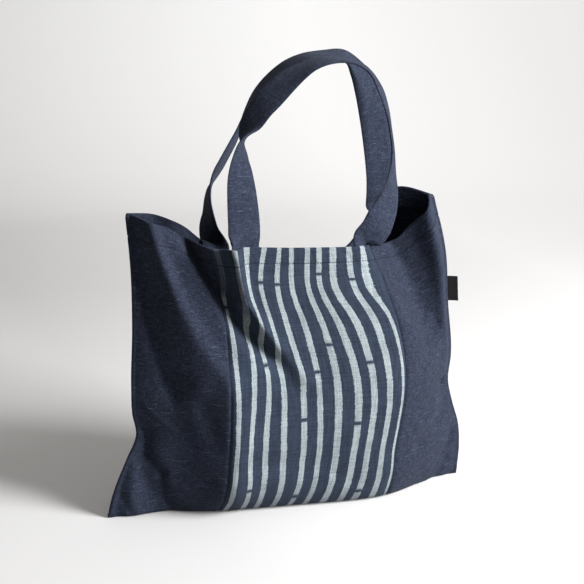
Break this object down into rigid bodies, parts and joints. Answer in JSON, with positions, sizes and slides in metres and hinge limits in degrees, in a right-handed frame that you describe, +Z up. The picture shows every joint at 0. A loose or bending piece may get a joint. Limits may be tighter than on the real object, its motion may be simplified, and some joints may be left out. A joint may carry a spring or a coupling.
{
  "type": "tote bag",
  "caption": "Cloth tote bag with flat strap handles, a vertically striped front centre panel and a small tab in the side seam.",
  "frame": {"origin": "on the surface the bag stands on, at the middle of the bag's width, in the plane of the side seams", "axes": "+Z up; the striped front faces -Y; +X runs from the left side seam to the right side seam, seen from the front"},
  "size_m": [0.381, 0.1164, 0.447],
  "materials": {
    "striped_twill": "woven, matt, light stripes",
    "indigo_linen": "woven, matt, slubby",
    "strap_linen": "woven, matt, slubby",
    "tab_cloth": "woven tape, matt"
  },
  "bodies": {
    "root": {"centre_panel": "striped_twill", "left_panel": "indigo_linen", "right_panel": "indigo_linen", "back_panel": "indigo_linen", "front_handle": "strap_linen", "back_handle": "strap_linen", "side_tab": "tab_cloth"}
  },
  "joints": []
}
